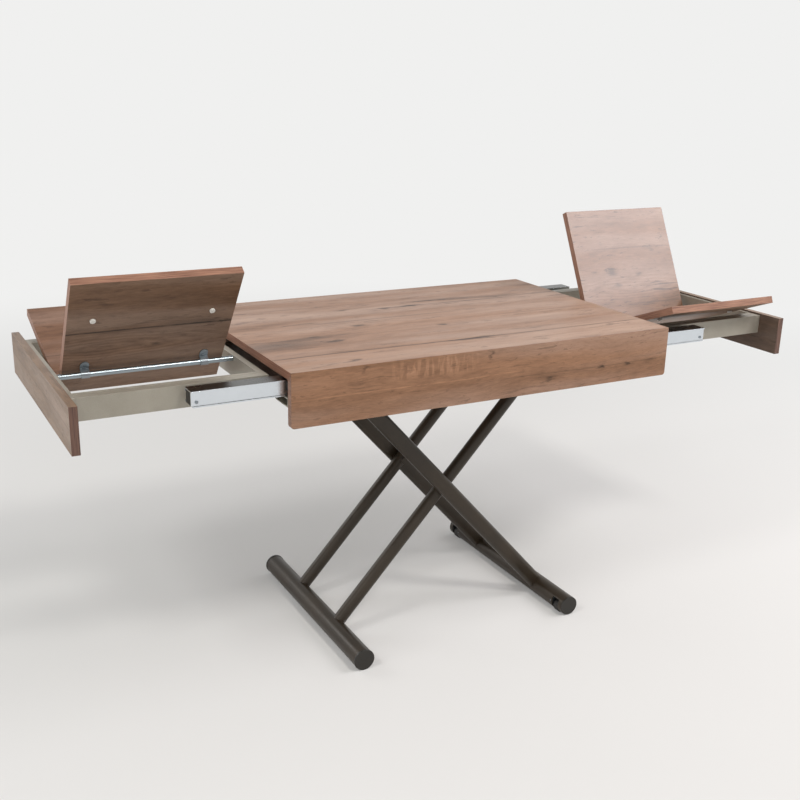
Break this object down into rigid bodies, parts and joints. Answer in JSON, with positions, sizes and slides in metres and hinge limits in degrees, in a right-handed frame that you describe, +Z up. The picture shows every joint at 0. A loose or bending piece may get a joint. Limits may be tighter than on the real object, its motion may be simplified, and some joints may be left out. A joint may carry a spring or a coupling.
{
  "type": "convertible coffee dining table",
  "caption": "Box-topped table on crossed folding legs that lowers to coffee height; an end frame slides from each end and carries a pair of hinged leaves on a rod.",
  "frame": {"origin": "middle of the bounding box at floor level, 8 mm from the middle of the fixed top because the left end frame is out further", "axes": "+X along the table towards the right end frame, +Y away from the front apron, +Z up"},
  "size_m": [1.856, 0.66, 0.9832],
  "materials": {
    "wood_board": "satin",
    "wood_panel": "satin",
    "greige_paint": "satin",
    "zinc_steel": "satin",
    "bronze_paint": "satin",
    "glide_plastic": "matte",
    "bumper_rubber": "matte",
    "roller_rubber": "matte"
  },
  "bodies": {
    "top_box": {"top_board": "wood_board", "apron_front": "wood_board", "apron_back": "wood_board", "runner_frame": "greige_paint", "glide_strips": "glide_plastic", "track_front": "zinc_steel", "track_back": "zinc_steel", "track_screws": "zinc_steel"},
    "left_axle": {"left_upper_axle": "bronze_paint", "left_sliders": "glide_plastic"},
    "outer_frame": {"outer_leg_front": "bronze_paint", "outer_leg_back": "bronze_paint", "right_foot": "bronze_paint", "right_foot_caps": "bronze_paint", "pivot_bolts": "zinc_steel", "roller_axles": "zinc_steel"},
    "inner_frame": {"inner_leg_front": "bronze_paint", "inner_leg_back": "bronze_paint", "left_foot": "bronze_paint", "left_foot_caps": "bronze_paint", "right_upper_axle": "bronze_paint", "right_sliders": "glide_plastic"},
    "front_roller": {"roller_front": "roller_rubber"},
    "back_roller": {"roller_back": "roller_rubber"},
    "left_slides": {"left_slides": "zinc_steel", "left_slide_stops": "glide_plastic", "left_slide_screws": "zinc_steel"},
    "left_end_frame": {"left_end_panel": "wood_panel", "left_end_member": "greige_paint", "left_crossbar": "greige_paint", "left_rail_front": "greige_paint", "left_rail_back": "greige_paint", "left_leaf_rod": "zinc_steel", "left_glide_carriages": "zinc_steel"},
    "left_leaf_a_body": {"left_leaf_a": "wood_board", "left_rod_clips": "zinc_steel", "left_clip_screws": "zinc_steel", "left_bumpers_a": "bumper_rubber", "left_hinge_links": "zinc_steel"},
    "left_leaf_b_body": {"left_leaf_b": "wood_board", "left_hinge_cups": "zinc_steel", "left_bumpers_b": "bumper_rubber"},
    "right_slides": {"right_slides": "zinc_steel", "right_slide_stops": "glide_plastic", "right_slide_screws": "zinc_steel"},
    "right_end_frame": {"right_end_panel": "wood_panel", "right_end_member": "greige_paint", "right_crossbar": "greige_paint", "right_rail_front": "greige_paint", "right_rail_back": "greige_paint", "right_leaf_rod": "zinc_steel", "right_glide_carriages": "zinc_steel"},
    "right_leaf_a_body": {"right_leaf_a": "wood_board", "right_rod_clips": "zinc_steel", "right_clip_screws": "zinc_steel", "right_bumpers_a": "bumper_rubber", "right_hinge_links": "zinc_steel"},
    "right_leaf_b_body": {"right_leaf_b": "wood_board", "right_hinge_cups": "zinc_steel", "right_bumpers_b": "bumper_rubber"}
  },
  "joints": [
    {"name": "left_frame_slide", "type": "slide", "parent": "left_slides", "child": "left_end_frame", "axis": [1, 0, 0], "range_m": [0, 0.02525]},
    {"name": "left_slide_run", "type": "slide", "parent": "top_box", "child": "left_slides", "axis": [1, 0, 0], "range_m": [0, 0.02525]},
    {"name": "left_leaf_turn", "type": "hinge", "parent": "left_end_frame", "child": "left_leaf_a_body", "pos_m": [-0.716, -0.0685, 0.735], "axis": [-1, 0, 0], "range_deg": [-53.9, 60.1]},
    {"name": "left_leaf_fold", "type": "hinge", "parent": "left_leaf_a_body", "child": "left_leaf_b_body", "pos_m": [-0.716, -0.0039, 0.69733], "axis": [1, 0, 0], "range_deg": [-71.9, 80.16]},
    {"name": "right_frame_slide", "type": "slide", "parent": "right_slides", "child": "right_end_frame", "axis": [-1, 0, 0], "range_m": [-0.008, 0.01725]},
    {"name": "right_slide_run", "type": "slide", "parent": "top_box", "child": "right_slides", "axis": [-1, 0, 0], "range_m": [-0.008, 0.01725]},
    {"name": "right_leaf_turn", "type": "hinge", "parent": "right_end_frame", "child": "right_leaf_a_body", "pos_m": [0.716, 0.0685, 0.735], "axis": [1, 0, 0], "range_deg": [-64, 50]},
    {"name": "right_leaf_fold", "type": "hinge", "parent": "right_leaf_a_body", "child": "right_leaf_b_body", "pos_m": [0.716, 0.01151, 0.68658], "axis": [-1, 0, 0], "range_deg": [-85.36, 66.7]},
    {"name": "axle_run", "type": "slide", "parent": "top_box", "child": "left_axle", "axis": [-1, 0, 0], "range_m": [0, 0.11634]},
    {"name": "lift", "type": "hinge", "parent": "left_axle", "child": "outer_frame", "pos_m": [-0.2755, 0, 0.662], "axis": [0, -1, 0], "range_deg": [0, 29.5]},
    {"name": "leg_cross", "type": "hinge", "parent": "outer_frame", "child": "inner_frame", "pos_m": [0.008, 0, 0.35212], "axis": [0, 1, 0], "range_deg": [0, 59.1]},
    {"name": "front_roller_turn", "type": "hinge", "parent": "outer_frame", "child": "front_roller", "pos_m": [0.30005, -0.252, 0.015], "axis": [0, 1, 0], "continuous": true},
    {"name": "back_roller_turn", "type": "hinge", "parent": "outer_frame", "child": "back_roller", "pos_m": [0.30005, 0.252, 0.015], "axis": [0, 1, 0], "continuous": true}
  ],
  "couplings": [
    {"joint": "left_slide_run", "follows": "left_frame_slide", "ratio": 1},
    {"joint": "left_leaf_fold", "follows": "left_leaf_turn", "ratio": 1.333},
    {"joint": "right_slide_run", "follows": "right_frame_slide", "ratio": 1},
    {"joint": "right_leaf_fold", "follows": "right_leaf_turn", "ratio": 1.333},
    {"joint": "axle_run", "follows": "lift", "m_per_rad": 0.22499},
    {"joint": "leg_cross", "follows": "lift", "ratio": 2}
  ]
}
